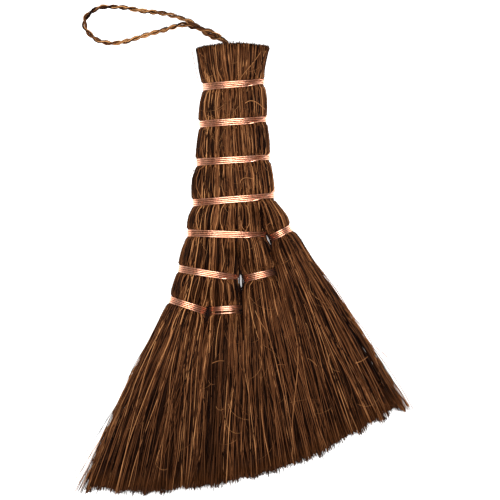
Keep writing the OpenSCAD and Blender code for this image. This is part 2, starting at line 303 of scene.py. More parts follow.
# ---------------------------------------------------------------- mesh helpers
def make_piece(name, verts, quads, tris=None, tone=None):
    """A mesh object from arrays of points and faces, with one tone per point for its material."""
    tris = np.zeros((0, 3), int) if tris is None else np.asarray(tris)
    quads = np.asarray(quads).reshape(-1, 4)
    mesh = bpy.data.meshes.new(name)
    mesh.vertices.add(len(verts))
    mesh.vertices.foreach_set("co", np.ascontiguousarray(verts, np.float32).ravel())
    loops = np.concatenate([quads.ravel(), tris.ravel()]).astype(np.int32)
    mesh.loops.add(len(loops))
    mesh.loops.foreach_set("vertex_index", loops)
    sizes = np.concatenate([np.full(len(quads), 4), np.full(len(tris), 3)])
    mesh.polygons.add(len(sizes))
    mesh.polygons.foreach_set("loop_start", np.concatenate([[0], np.cumsum(sizes)[:-1]]).astype(np.int32))
    mesh.polygons.foreach_set("use_smooth", np.full(len(sizes), True))
    if tone is not None:
        tones = mesh.attributes.new("tone", "FLOAT", "POINT").data
        tones.foreach_set("value", np.asarray(tone, np.float32).ravel())
    mesh.update(calc_edges=True)
    obj = bpy.data.objects.new(name, mesh)
    bpy.context.scene.collection.objects.link(obj)
    return obj


def ring_faces(start, rings, sides):
    """Quads between rings of that many points, laid out one ring after another from point number start."""
    row = (np.arange(rings - 1) * sides)[:, None]
    k = np.arange(sides)
    a = start + row + k
    b = start + row + (k + 1) % sides
    return np.stack([a, b, b + sides, a + sides], axis=-1).reshape(-1, 4)


def end_fan(sides):
    """Triangles that close the first ring of a tube."""
    return np.array([[0, j + 1, j] for j in range(1, sides - 1)])


def tubes(lines, radii, sides, roll):
    """Closed tubes along many lines: n x m x 3, with radii n x m. Gives points, quads and end triangles."""
    n, m, _ = lines.shape
    run = np.gradient(lines, axis=1)
    run /= np.maximum(np.linalg.norm(run, axis=2, keepdims=True), 1e-12)
    side = np.cross(run, [0, 0, 1.0])
    side /= np.maximum(np.linalg.norm(side, axis=2, keepdims=True), 1e-9)
    up = np.cross(side, run)
    turn = roll[:, None, None] + 2 * math.pi * np.arange(sides) / sides
    ring = np.cos(turn)[..., None] * side[:, :, None] + np.sin(turn)[..., None] * up[:, :, None]
    verts = lines[:, :, None] + radii[:, :, None, None] * ring
    first = (np.arange(n) * m * sides)[:, None, None]
    last = first + (m - 1) * sides
    fan = end_fan(sides)
    tris = np.concatenate([(first + fan).reshape(-1, 3), (last + fan[:, ::-1]).reshape(-1, 3)])
    return verts.reshape(-1, 3), ring_faces(first, m, sides), tris


def monotone(knots, values, t):
    """Smooth curves through values (n x knots x 3), read at t (n x m).

    At each knot the curve takes the gentler of the two slopes beside it, so a short dip leaves the curve
    beyond it straight.
    """
    h = np.diff(knots)
    d = np.diff(values, axis=1) / h[None, :, None]
    before, after = d[:, :-1], d[:, 1:]
    gentler = np.where(np.abs(before) < np.abs(after), before, after)
    slope = np.zeros_like(values)
    slope[:, 0], slope[:, -1] = d[:, 0], d[:, -1]
    slope[:, 1:-1] = np.where(before * after > 0, gentler, 0)
    idx = np.clip(np.searchsorted(knots, t) - 1, 0, len(h) - 1)
    rows = np.arange(len(t))[:, None]
    hh = h[idx][..., None]
    s = ((t - knots[idx]) / h[idx])[..., None]
    p0, p1 = values[rows, idx], values[rows, idx + 1]
    m0, m1 = slope[rows, idx] * hh, slope[rows, idx + 1] * hh
    return (
        (2 * s**3 - 3 * s**2 + 1) * p0 + (s**3 - 2 * s**2 + s) * m0
        + (3 * s**2 - 2 * s**3) * p1 + (s**3 - s**2) * m1
    )


def through(points, steps):
    """A smooth line through given points, with that many steps between neighbours."""
    p = np.asarray(points, float)
    p = np.vstack([2 * p[0] - p[1], p, 2 * p[-1] - p[-2]])
    out = []
    for k in range(1, len(p) - 2):
        for s in np.arange(steps) / steps:
            out.append(
                0.5 * (
                    2 * p[k] + (p[k + 1] - p[k - 1]) * s
                    + (2 * p[k - 1] - 5 * p[k] + 4 * p[k + 1] - p[k + 2]) * s**2
                    + (3 * p[k] - p[k - 1] - 3 * p[k + 1] + p[k + 2]) * s**3
                )
            )
    out.append(p[-2])
    return np.array(out)


def evenly(line, step):
    """The line read again at even steps along its length."""
    far = np.concatenate([[0], np.cumsum(np.linalg.norm(np.diff(line, axis=0), axis=1))])
    count = max(2, int(round(far[-1] / step)) + 1)
    t = np.linspace(0, far[-1], count)
    return np.column_stack([np.interp(t, far, line[:, k]) for k in range(3)]), far[-1]


def waves(rng, n, far, lengths, sizes):
    """Smooth random sway along n fibres: a sum of sines, with wavelengths and sizes in the units of far."""
    total = np.zeros((n, far.shape[1]))
    for (short, long), size in zip(lengths, sizes):
        wavelength = rng.uniform(short, long, (n, 1))
        phase = rng.uniform(0, 2 * math.pi, (n, 1))
        amount = size * rng.gamma(2.0, 0.5, (n, 1))
        total += amount * np.sin(2 * math.pi * far / wavelength + phase)
    return total


# ---------------------------------------------------------------- fibres
# How close u may come to the edge of a bundle's own oval, and how far past a seam it may go
EDGE_KEEP, PAST_SEAM = 0.004, 0.06
# How much of the bulges is taken out of the fibres away from the broom's edges
STRAIGHT = 0.85
# The least share of sideways play, at the broom's outer edges
LEAST_ROOM = 0.08


def bundle_lines(i, u, height, t, drift=0.0, by_depth=False):
    """Fibre centre lines in bundle i, n x m x 3 in millimetres, at the reaches t.

    height is -1 at the underside and 1 at the top, or (side, depth below that side) when by_depth is set.
    drift is how far u wanders from the tie to the tips.
    """
    knots = []
    for reach, s in zip(REACH[i], STATIONS[i]):
        at_u = u + drift * soft_step((reach - TIE_REACH[i]) / (REACH[i][-1] - TIE_REACH[i])) ** 0.7
        whole_oval = s.v0 == -ROUND_EDGE and s.v1 == ROUND_EDGE
        low = EDGE_KEEP if whole_oval or i == 0 else -PAST_SEAM
        high = 1 - EDGE_KEEP if whole_oval or i == 3 else 1 + PAST_SEAM
        at_u = np.clip(at_u, low, high)
        if by_depth:
            side, depth = height
            w = side * np.maximum(1 - depth / np.maximum(s.height(at_u), 0.5), 0)
        else:
            w = height
        knots.append(s.at(at_u, w))
    return monotone(REACH[i], np.stack(knots, axis=1), t)


def straightened(i, x, u, height, t):
    """Sideways places x of neck fibres, drawn straight between bindings but not at the outer edges."""
    reaches = [0, *wire_reaches(i)]
    held = bundle_lines(i, u, height, np.tile(reaches, (len(u), 1)), by_depth=True)[:, :, 0]
    straight = np.array([np.interp(row, reaches, places) for row, places in zip(t, held)])
    share = soft_step((edge_room(i, u, 0.55) - LEAST_ROOM) / 0.8) * (t < reaches[-1]) * (t > 0)
    return mix(x, straight, STRAIGHT * share)


def free_of_wires(i, t, span):
    """0 under a binding, rising to 1 at span away from it."""
    gap = np.min([np.abs(t - r) for r in wire_reaches(i)], axis=0)
    return soft_step((gap - 2) / span)


# Places beside a binding at which every fibre has a point, from above it to below it
DIP = np.array([-3.6, -2.3, 0, 2.3, 3.6])


def neck_reaches(i, start, end):
    """Reaches for neck fibres: each one's own start, points at and between the bindings, and its own tail."""
    shared = []
    above = 3.0
    for r in wire_reaches(i):
        shared += list(np.linspace(above, r + DIP[0], 4)[:-1] if r + DIP[0] - above > 6 else [above])
        shared += list(r + DIP)
        above = r + DIP[-1] + 1.5
    n = len(start)
    tail = above + (end[:, None] - above) * np.linspace(0, 1, 7)
    return np.column_stack([start, np.tile(shared, (n, 1)), tail])


def brush_reaches(i, start, end):
    """Reaches for brush fibres: from above the tie, through its dip and on to the tips."""
    n, tie = len(start), TIE_REACH[i]
    upper = np.column_stack([start, (start + tie + DIP[0]) / 2])
    free = tie + 7 + (end[:, None] - tie - 7) * np.linspace(0, 1, 13)
    return np.column_stack([upper, np.tile(tie + DIP, (n, 1)), free])


def fibre_piece(name, lines, radii, tone, seed):
    """One piece of many fibres, with a tone for each of their points."""
    rng = np.random.default_rng(seed)
    verts, quads, tris = tubes(lines, radii, 3, rng.uniform(0, 6.3, len(lines)))
    obj = make_piece(name, placed(verts), quads, tris, np.repeat(tone.ravel(), 3))
    finish_piece(obj, PALM_FIBRE, "broom")


def finish_piece(obj, material, body):
    """Give a piece its material and slot, and its body unless it is shared between two."""
    obj.data.materials.append(material)
    if body:
        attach(obj, body)


# Layers of fibres from the surface inward: share of the fibres, and how much of their own tone is kept;
# deeper layers are painted darker, as painted shade between the fibres
NECK_LAYERS = [(0.26, 1.0), (0.24, 0.3), (0.5, 0.02)]
BRUSH_LAYERS = [(0.2, 1.0), (0.2, 0.3), (0.6, 0.0)]


def fibre_tones(rng, layers, layer, m):
    """One tone per fibre: near black, brown or tan, drifting a little, and painted darker in deeper layers as
    painted shade between the fibres.
    """
    n = len(layer)
    kind = rng.uniform(0, 1, (n, 1))
    base = np.where(kind < 0.3, rng.uniform(0.0, 0.18, (n, 1)), rng.uniform(0.34, 0.6, (n, 1)))
    base = np.where(kind > 0.8, rng.uniform(0.68, 1.0, (n, 1)), base)
    drift = rng.normal(0, 0.06, (n, 2))
    tone = base + mix(drift[:, :1], drift[:, 1:], np.linspace(0, 1, m)[None])
    # Painted shade: each layer's share scales its fibres' tones down, near black in the deepest
    return np.clip(tone, 0, 1) * np.array([unshaded_share for _, unshaded_share in layers])[layer][:, None]


def pick_layers(rng, layers, n):
    return rng.choice(len(layers), n, p=[share for share, _ in layers])


def edge_room(i, u, span):
    """LEAST_ROOM at the broom's outer edge, rising to 1 at that share of the bundle's width."""
    room = np.ones_like(u)
    if i == 0:
        room = np.minimum(room, u / span)
    if i == 3:
        room = np.minimum(room, (1 - u) / span)
    return np.clip(room, LEAST_ROOM, 1)[:, None]


NECK_FIBRES = [330, 250, 300, 280]
BRUSH_FIBRES = [1000, 700, 800, 850]
TIP_ENDS = 1500
CUT_ENDS = 2800
CLUMPS = [17, 12, 13, 14]
# The share of the fibres that lie on the upper side
NECK_TOP, BRUSH_TOP = 0.62, 0.55
# How deep neck fibres sink at their lower ends, and over what length
SINK, SINK_RUN = 2.6, 18
# How far up from the tips the deep fibres lose their painted shade and are painted a light tone instead
LIT_RUN = 16
# Depth of each layer below the surface: millimetres at the neck, a share of the half thickness in the brush
NECK_DEPTHS = [(0.2, 0.5), (0.6, 1.1), (1.2, 2.0)]
BRUSH_DEPTHS = [(0.0, 0.08), (0.1, 0.25), (0.3, 1.0)]


def in_layer(rng, layer, depths):
    low, high = np.array(depths)[layer].T
    return rng.uniform(low, high)


def neck_fibres(i):
    """Fibres at the bound neck's surface, from the cut edge down past the bundle's tie."""
    rng = np.random.default_rng(100 + i)
    n = NECK_FIBRES[i]
    v = rng.uniform(0, 1, n)
    if i == 0:
        v = 1 - np.cos(v * math.pi / 2)
    if i == 3:
        v = np.sin(v * math.pi / 2)
    u = mix(0.0 if i == 0 else -PAST_SEAM, 1.0 if i == 3 else 1 + PAST_SEAM, v)
    side = np.where(rng.uniform(0, 1, n) < NECK_TOP, 1.0, -1.0)
    layer = pick_layers(rng, NECK_LAYERS, n)
    depth = in_layer(rng, layer, NECK_DEPTHS)
    end = TIE_REACH[i] + rng.uniform(12, 50, n)
    start = rng.normal(0, 0.45, n) + np.where(rng.uniform(0, 1, n) < 0.15, rng.uniform(0, 2.5, n), 0)
    t = neck_reaches(i, start, end)
    m = t.shape[1]
    lines = bundle_lines(i, u, (side, depth), np.maximum(t, 0), by_depth=True)
    lines[:, :, 1] -= np.minimum(t, 0)
    lines[:, :, 0] = straightened(i, lines[:, :, 0], u, (side, depth), t)
    free = free_of_wires(i, t, 5)
    far = t - start[:, None]
    room = edge_room(i, u, 0.22)
    lines[:, :, 0] += free * room * waves(rng, n, far, [(45, 110), (14, 30)], [0.9, 0.1])
    lines[:, :, 2] += free * (waves(rng, n, far, [(20, 50), (8, 18)], [0.2, 0.06]) + 0.1)
    sink = soft_step((t - (end - SINK_RUN)[:, None]) / SINK_RUN)
    lines[:, :, 2] -= side[:, None] * SINK * sink
    lines[:, :, 2] = np.maximum(lines[:, :, 2], LOWEST)
    radii = rng.uniform(0.16, 0.32, (n, 1)) * np.ones((1, m))
    tones = fibre_tones(rng, NECK_LAYERS, layer, m) * 0.95
    fibre_piece(f"{BUNDLES[i]}_neck_fibres", lines, radii, tones, seed=i)


def past_the_tips(lines, past):
    """Lines that run on straight beyond the bundle's last section."""
    run = lines[:, -1] - lines[:, -3]
    run /= np.linalg.norm(run, axis=1, keepdims=True)
    return lines + past[:, :, None] * run[:, None]


def brush_fibres(i):
    """Fibres that fill the free part of the bundle, from inside its last bindings to the tips."""
    rng = np.random.default_rng(200 + i)
    n = BRUSH_FIBRES[i]
    u = mix(0.0 if i == 0 else -0.05, 1.0 if i == 3 else 1.05, rng.uniform(0, 1, n))
    drift = rng.normal(0, 0.14, n)
    # Tips lean together in clumps, and each clump ends at its own length
    tip = u + drift
    clump = np.floor(tip * CLUMPS[i])
    drift += 0.2 * ((clump + 0.5) / CLUMPS[i] - tip)
    clump_length = rng.normal(0, 0.9, 200)[clump.astype(int) + 60]
    layer = pick_layers(rng, BRUSH_LAYERS, n)
    side = np.where(rng.uniform(0, 1, n) < BRUSH_TOP, 1.0, -1.0)
    w = side * (1 - in_layer(rng, layer, BRUSH_DEPTHS))
    last, tie = REACH[i][-1], TIE_REACH[i]
    miss = rng.gamma(1.2, 1.2, n) + np.where(rng.uniform(0, 1, n) < 0.1, rng.uniform(0, 18, n), 0)
    over = np.where(rng.uniform(0, 1, n) < 0.08, rng.uniform(0.5, 2.5, n), 0)
    start, end = tie - rng.uniform(5, 14, n), last - 0.8 - miss + clump_length + over
    t = brush_reaches(i, start, end)
    m = t.shape[1]
    lines = bundle_lines(i, u, np.clip(w, -0.985, 0.985), np.minimum(t, last), drift)
    lines = past_the_tips(lines, np.maximum(t - last, 0))
    rise = soft_step((t - tie) / 60)
    free = soft_step((t - tie - 4) / 14)
    far = t - start[:, None]
    room = edge_room(i, u, 0.15)
    sway = waves(rng, n, far, [(90, 220), (30, 60)], [1.2, 0.12])
    lines[:, :, 0] += free * room * sway * (0.35 + 0.9 * rise)
    lines[:, :, 2] += free * waves(rng, n, far, [(50, 120), (20, 45)], [0.5, 0.12]) * (0.3 + 0.7 * rise)
    lines[:, :, 2] -= side[:, None] * 1.2 * (1 - soft_step((t - tie - 5) / 22))
    lines[:, :, 2] = np.maximum(lines[:, :, 2], 0.22)
    taper = mix(1.0, 0.75, np.linspace(0, 1, m)[None] ** 2)
    radii = rng.uniform(0.18, 0.32, (n, 1)) * taper
    tones = fibre_tones(rng, BRUSH_LAYERS, layer, m) * 0.9
    # Painted light: near the tips, where light reaches every layer, the deep fibres' painted shade gives way
    # to a light tone
    tip_painted_light = soft_step((t - (end - LIT_RUN)[:, None]) / LIT_RUN)
    tones = np.maximum(tones, tip_painted_light * rng.uniform(0.1, 0.5, (n, 1)))
    fibre_piece(f"{BUNDLES[i]}_brush_fibres", lines, radii, tones, seed=10 + i)


def edge_fibres():
    """Loose fibres that stand apart from the fan's two outer edges."""
    rng = np.random.default_rng(300)
    m = 24
    for i, side, n, spread in ((0, 0, 110, 3.2), (3, 1, 80, 1.4)):
        u = side + (0.5 - side) * 2 * rng.uniform(0.0, 0.05, n)
        w = rng.uniform(-0.75, 0.8, n)
        last = REACH[i][-1]
        start = TIE_REACH[i] + rng.uniform(0, 60, n)
        end = last - rng.gamma(1.2, 4.0, n) + 3
        t = start[:, None] + (end - start)[:, None] * np.linspace(0, 1, m)[None]
        lines = past_the_tips(bundle_lines(i, u, w, np.minimum(t, last)), np.maximum(t - last, 0))
        out = rng.gamma(1.3, spread, n)[:, None] * ((t - start[:, None]) / 100) ** 1.5
        lines[:, :, 0] += (side * 2 - 1) * out
        sway = waves(rng, n, t, [(60, 140), (22, 45)], [0.8, 0.15])
        lines[:, :, 0] += soft_step((t - start[:, None]) / 30) * sway
        lines[:, :, 2] = np.maximum(lines[:, :, 2], LOWEST)
        radii = rng.uniform(0.17, 0.26, (n, 1)) * np.ones((1, m))
        tones = fibre_tones(rng, NECK_LAYERS, np.zeros(n, int), m)
        fibre_piece(f"{BUNDLES[i]}_edge_fibres", lines, radii, tones, seed=30 + i)


# The openings just below the fifth and sixth bindings, where the floor shows: top and bottom, millimetres
OPENINGS = {1: (-45.0, -52.6), 2: (-22.4, -27.4)}


def seam_shade_fibres():
    """Fibres that close the gap between neighbouring bundles, below their surface, painted black as the shade
    in that gap.
    """
    rng = np.random.default_rng(450)
    n, m = 90, 34
    for i in range(3):
        top = min(TIE_REACH[i], TIE_REACH[i + 1]) - 40
        t = np.tile(np.linspace(top, max(TIE_REACH[i], TIE_REACH[i + 1]) + 70, m), (n, 1))
        w = rng.uniform(-0.7, 0.1, n)
        left = bundle_lines(i, np.full(n, 0.97), w, t)
        other = bundle_lines(i + 1, np.full(n, 0.03), w, t)
        right = left.copy()
        for k in range(n):
            for axis in (0, 2):
                right[k, :, axis] = np.interp(-left[k, :, 1], -other[k, :, 1], other[k, :, axis])
        f = rng.uniform(0, 1, (n, 1))
        lines = mix(left, right, f[..., None])
        if i in OPENINGS:
            high, low = OPENINGS[i]
            y = lines[:, :, 1]
            room = soft_step((high + 3 - y) / 4) * soft_step((y - low + 3) / 4)
            aside = (left[:, :, 0] + right[:, :, 0]) / 2 + np.where(f < 0.5, -0.9, 0.9)
            lines[:, :, 0] = mix(lines[:, :, 0], aside, room)
        radii = rng.uniform(0.25, 0.4, (n, 1)) * np.ones((1, m))
        # Painted shade: tone zero makes these fibres black
        fibre_piece(f"seam_shade_fibres_{i + 1}", lines, radii, np.zeros((n, m)), seed=60 + i)


def cut_end_fibres():
    """The cut ends that make up the top face of the neck, one short stub for each."""
    rng = np.random.default_rng(400)
    lines = []
    for i in range(4):
        n = int(CUT_ENDS * (SEAMS_CUT[i + 1] - SEAMS_CUT[i]))
        u, w = rng.uniform(0.005, 0.995, n), rng.uniform(-0.97, 0.97, n)
        t = np.array([[-0.3, 2.5, 6.0]]) + rng.normal(0, 0.65, (n, 1))
        part = bundle_lines(i, u, w, np.maximum(t, 0))
        part[:, :, 1] -= np.minimum(t, 0)
        part[:, :, 0] += rng.normal(0, 0.15, (n, 1)) * np.array([[1.5, 0.5, 0]])
        lines.append(part)
    lines = np.concatenate(lines)
    n = len(lines)
    radii = rng.uniform(0.16, 0.28, (n, 1)) * np.ones((1, 3))
    tones = fibre_tones(rng, NECK_LAYERS, np.zeros(n, int), 3) * 0.7
    fibre_piece("neck_end_fibres", lines, radii, tones, seed=40)


def tip_ends(i):
    """The ends of the fibres inside the brush, which fill its lower face."""
    rng = np.random.default_rng(420 + i)
    n = TIP_ENDS
    u, w = rng.uniform(0.01, 0.99, n), rng.uniform(-0.9, 0.9, n)
    last = REACH[i][-1]
    t = last - 2.4 - rng.gamma(1.3, 1.5, (n, 1)) + np.array([[-13.0, -6.0, 0.0]])
    lines = bundle_lines(i, u, w, np.minimum(t, last))
    lines[:, :, 0] += rng.normal(0, 0.25, (n, 1)) * np.array([[0, 0.4, 1]])
    lines[:, :, 2] = np.maximum(lines[:, :, 2] + rng.normal(0, 0.3, (n, 1)) * np.array([[0, 0.4, 1]]), 0.35)
    radii = rng.uniform(0.24, 0.42, (n, 1)) * np.ones((1, 3))
    # Painted shade: each stub darkens to black towards its inner end, deeper in the brush
    tones = rng.uniform(0.1, 0.5, (n, 1)) * np.array([[0.0, 0.4, 1.0]])
    fibre_piece(f"{BUNDLES[i]}_tip_ends", lines, radii, tones, seed=50 + i)


def core(i):
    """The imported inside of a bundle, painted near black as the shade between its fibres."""
    steps = 10
    v = (1 - np.cos(np.pi * np.arange(steps + 1) / steps)) / 2
    knots = []
    for k, s in enumerate(STATIONS[i]):
        fan = k >= len(STATIONS[i]) - len(STAGES)
        narrow = 0.07 if fan else 0.02
        u = mix(narrow if i == 0 or fan else -0.01, 1 - narrow if i == 3 or fan else 1.01, v)
        inset = 4.2 if fan else 2.3
        w = np.maximum(1 - inset / np.maximum(s.height(u), 1.0), 0.06)
        knots.append(np.concatenate([s.at(u, w), s.at(u[::-1], -w[::-1])]))
    values = np.stack(knots, axis=1)
    t = np.concatenate([[1.2], np.linspace(5, REACH[i][-1] - 10, 60)])
    rings = monotone(REACH[i], values, np.tile(t, (values.shape[0], 1))).transpose(1, 0, 2)
    m, n, _ = rings.shape
    verts = rings.reshape(-1, 3)
    j = np.arange(n // 2 - 1)
    cap = np.stack([j, n - 1 - j, n - 2 - j, j + 1], axis=-1)
    quads = np.concatenate([ring_faces(0, m, n), cap, cap[:, ::-1] + (m - 1) * n])
    obj = make_piece(f"{BUNDLES[i]}_core", placed(verts), quads)
    finish_piece(obj, CORE_PAINTED_SHADE, "broom")
    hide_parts(BUNDLES[i])


# ---------------------------------------------------------------- stray hairs
CURLED_HAIRS = 150


def surface_tree():
    """A tree of the CAD bundles' and bindings' surfaces, to lay loose hairs on."""
    verts, faces = [], []
    for name in BUNDLES + NECK_WIRES + TIES:
        mesh = frame["nodes"][name].data
        base = len(verts)
        verts += [v.co.copy() for v in mesh.vertices]
        faces += [[base + k for k in p.vertices] for p in mesh.polygons]
    return BVHTree.FromPolygons(verts, faces)


def top_at(tree, x, y, otherwise):
    hit = tree.ray_cast(Vector((x, y, 0.1)), Vector((0, 0, -1)))
    return hit[0].z if hit[0] is not None else otherwise


def laid_hairs(name, hairs, radius, tone, seed):
    """Hairs from lists of [x, y] points in the frame, metres, laid just above what is under them."""
    rng = np.random.default_rng(seed)
    tree = surface_tree()
    lines, m = [], 18
    for points, clear in hairs:
        flat, _ = evenly(through([[p[0], p[1], 0] for p in points], 8), 0.001)
        t = np.linspace(0, 1, len(flat))
        grid = np.linspace(0, 1, m)
        flat = np.column_stack([np.interp(grid, t, flat[:, k]) for k in range(3)])
        z = [top_at(tree, x, y, MID_Z) + clear for x, y in flat[:, :2]]
        flat[:, 2] = np.convolve(np.pad(z, 2, mode="edge"), np.ones(5) / 5, mode="valid")
        lines.append(flat)
    lines = np.array(lines) / MM
    lines[:, :, :2] -= ORIGIN[:2] / MM
    n = len(lines)
    radii = rng.uniform(*radius, (n, 1)) * mix(1, 0.5, np.linspace(0, 1, m)[None])
    tones = rng.uniform(*tone, (n, 1)) * np.ones((1, m))
    fibre_piece(name, lines, radii, tones, seed=seed)


def random_hairs():
    """Short curled hairs lying across the neck and the fan."""
    rng = np.random.default_rng(500)
    hairs = []
    for _ in range(CURLED_HAIRS):
        i = rng.integers(0, 4)
        t = rng.uniform(2, REACH[i][-1] - 12)
        u = rng.uniform(0.04, 0.96, 1)
        p = placed(bundle_lines(i, u, np.array([0.9]), np.array([[t]])))[0, 0]
        q = placed(bundle_lines(i, u, np.array([0.9]), np.array([[t + 3]])))[0, 0]
        run = math.atan2(q[1] - p[1], q[0] - p[0]) + rng.normal(0, 0.6)
        long, bend = rng.uniform(0.004, 0.02), rng.normal(0, 1.1)
        pts = [p[:2]]
        for _ in range(4):
            run += bend / 4
            pts.append(pts[-1] + long / 4 * np.array([math.cos(run), math.sin(run)]))
        hairs.append((pts, rng.uniform(0.0002, 0.0009)))
    return hairs


# Longer hairs that lie across the broom or leave it, each [x, y] from the fourth binding in millimetres
LONG_HAIRS = [
    [(16.5, 88.5), (12, 82), (5, 73.5), (1.5, 66.5)], [(7, 57.5), (10, 59), (14, 58), (19, 54)],
    [(-25, 89.5), (-23.5, 82), (-21.5, 73), (-19.5, 66)], [(-21, 88.5), (-19, 86.5), (-16.5, 84.5)],
    [(-9.5, 52.5), (-5, 56), (-1.5, 61.5)], [(20.5, 82.5), (22.5, 86), (25.5, 89.5)],
    [(17.5, 85), (19, 88.5), (21.5, 92)], [(-16, 50.5), (-12, 48.5), (-9.5, 47)],
    [(4, 10), (5, 12), (8, 13), (12, 12.2)], [(-23.5, 18), (-25.8, 14.5), (-26, 10), (-24.5, 6.5)],
    [(-16.5, -7.5), (-19, -11), (-21.5, -15)], [(4.5, -12.5), (5, -16), (6.5, -18.5)],
    [(19.5, -18), (20, -15.5), (23, -13.5)], [(13, -66.5), (16, -73), (21.5, -81)],
    [(-13, -98), (-9, -96.5), (-5.5, -96.5)], [(34, -81), (38, -80), (42, -79.5)],
    [(72.5, -98), (77, -96.5), (80.5, -94)], [(25.5, -99), (29, -98.5), (31, -99)],
    [(44.5, -95), (47, -96.5), (50, -99.5)], [(-46, -70), (-44.5, -69), (-42, -69.5)],
    [(85.5, -88.5), (95, -97), (104, -105), (116, -116.5)],
    [(62, -51), (74, -68), (90, -92), (108, -120.5)], [(-82, -157), (-87, -163), (-94, -170.5)],
]


def drawn_hairs():
    """The longer hairs, thin and close to what they lie on."""
    return [([placed([[x, y, 0]])[0, :2] for x, y in hair], 0.0004) for hair in LONG_HAIRS]


# ---------------------------------------------------------------- copper wire
def oval_ring(a, b, r, out, count):
    """An oval of four arcs, grown outward: points and outward directions, from its right end over the top."""
    big = ((a - r) ** 2 + b * b - r * r) / (2 * (b - r))
    join = math.atan2(big - b, a - r)
    arcs = [
        ((a - r, 0), r, -join, join), ((0, b - big), big, join, math.pi - join),
        ((r - a, 0), r, math.pi - join, math.pi + join),
        ((0, big - b), big, math.pi + join, 2 * math.pi - join),
    ]
    pts, outs = [], []
    for (cx, cz), radius, a0, a1 in arcs:
        for angle in np.linspace(a0, a1, 60, endpoint=False):
            d = np.array([math.cos(angle), math.sin(angle)])
            pts.append(np.array([cx, cz]) + (radius + out) * d)
            outs.append(d)
    pts, outs = np.array(pts), np.array(outs)
    shift = 30
    pts, outs = np.roll(pts, -shift, axis=0), np.roll(outs, -shift, axis=0)
    pts, outs = np.vstack([pts, pts[:1]]), np.vstack([outs, outs[:1]])
    far = np.concatenate([[0], np.cumsum(np.linalg.norm(np.diff(pts, axis=0), axis=1))])
    t = np.linspace(0, 1, count)
    return [np.column_stack([np.interp(t, far / far[-1], v[:, k]) for k in range(2)]) for v in (pts, outs)]


STRAND_PITCH = 1.08
STRAND_R = 0.42


def wire_winding(name, outline, half_thick, levels, crosses, seed):
    """One wire wound round an oval, a turn at each level from the lowest up.

    Where crosses is set, the wire's first end runs up over the other turns at the right and is tucked in that
    far above them.
    """
    rng = np.random.default_rng(seed)
    left, right, z = outline[0], outline[1], outline[3] * MID_Z / MM
    a = np.linalg.norm(right - left) / 2 - WIRE_D - SEAT_GAP
    out = SEAT_GAP + WIRE_D / 2
    ring, outward = oval_ring(a, half_thick, END_SHARE * half_thick, out, 241)
    # One step of f is one turn, from the right end over the top and back underneath
    start = -0.035 if crosses else 0.0
    f = np.linspace(start, len(levels) - 0.4, 130 * len(levels))
    share = (f % 1) * 240
    place = np.column_stack([np.interp(share, np.arange(241), ring[:, k]) for k in range(2)])
    outs = np.column_stack([np.interp(share, np.arange(241), outward[:, k]) for k in range(2)])
    turn = np.clip(np.floor(f).astype(int), 0, len(levels) - 1)
    nxt = np.minimum(turn + 1, len(levels) - 1)
    levels = np.array(levels, float)
    level = mix(levels[turn], levels[nxt], soft_step((f - turn - 0.56) / 0.36))
    lift = np.zeros(len(f))
    if crosses:
        way = np.clip((0.155 - f) / 0.15, 0, 1)
        level = mix(level, levels[-1] + crosses, way**1.5)
        lift = 0.95 * WIRE_D * soft_step(way / 0.22) * (1 - soft_step((way - 0.8) / 0.2))
        lift -= 1.6 * WIRE_D * (1 - soft_step((f - start) / 0.04))
    for size, swing in ((0.05, 7.1), (0.035, 17.3)):
        level = level + size * np.sin(f * swing + rng.uniform(0, 6))
    lift = lift + 0.04 * np.sin(f * 11.3 + rng.uniform(0, 6))
    place = place + lift[:, None] * outs
    flat = (left + right) / 2 + place[:, :1] * across(left, right) + level[:, None] * along(left, right)
    line = np.column_stack([flat, np.maximum(z + place[:, 1], WIRE_D / 2)])
    verts, quads, tris = tube_round(line, STRAND_R, 12)
    obj = make_piece(f"{name}_turns", placed(verts), quads, tris)
    finish_piece(obj, COPPER, "broom")
    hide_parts(name)


def tube_round(line, radius, sides):
    """A tube along one line that may run in any direction, with its ring carried along without twist."""
    run = np.gradient(line, axis=0)
    run /= np.linalg.norm(run, axis=1, keepdims=True)
    side = np.cross(run[0], [0, 1.0, 0.2])
    side /= np.linalg.norm(side)
    rings = []
    for p, t in zip(line, run):
        side = side - t * np.dot(side, t)
        side /= np.linalg.norm(side)
        up = np.cross(side, t)
        ang = 2 * math.pi * np.arange(sides) / sides
        rings.append(p + radius * (np.cos(ang)[:, None] * side + np.sin(ang)[:, None] * up))
    m = len(line)
    fan = end_fan(sides)
    tris = np.concatenate([fan, fan[:, ::-1] + (m - 1) * sides])
    return np.concatenate(rings), ring_faces(0, m, sides), tris


def bindings():
    even = [(k - 1.5) * STRAND_PITCH for k in range(WIRE_TURNS)]
    crossings = [0.7, 1.5, 2.3, 3.2, 0.6, 0.8]
    for k, (name, outline) in enumerate(zip(NECK_WIRES, RINGS)):
        wire_winding(name, outline, outline[2], even, crossings[k], 600 + k)
    spaced = {"tie_mid_left": [-1.75, 0.0, 1.0, 2.0]}
    for i, name in enumerate(TIES):
        outline = TIE_OUTLINES[i]
        wire_winding(name, outline, tie_thickness(i), spaced.get(name, even), 0, 620 + i)


# ---------------------------------------------------------------- rope
# The loop's two legs twisted together past the root: reach from and to, degrees of twist, points, end height
PAIR_FROM, PAIR_TO, PAIR_TURN, PAIR_POINTS, PAIR_LOW = 3.8, 26, 270, 8, 0.5
LEG_HALF = 1.3
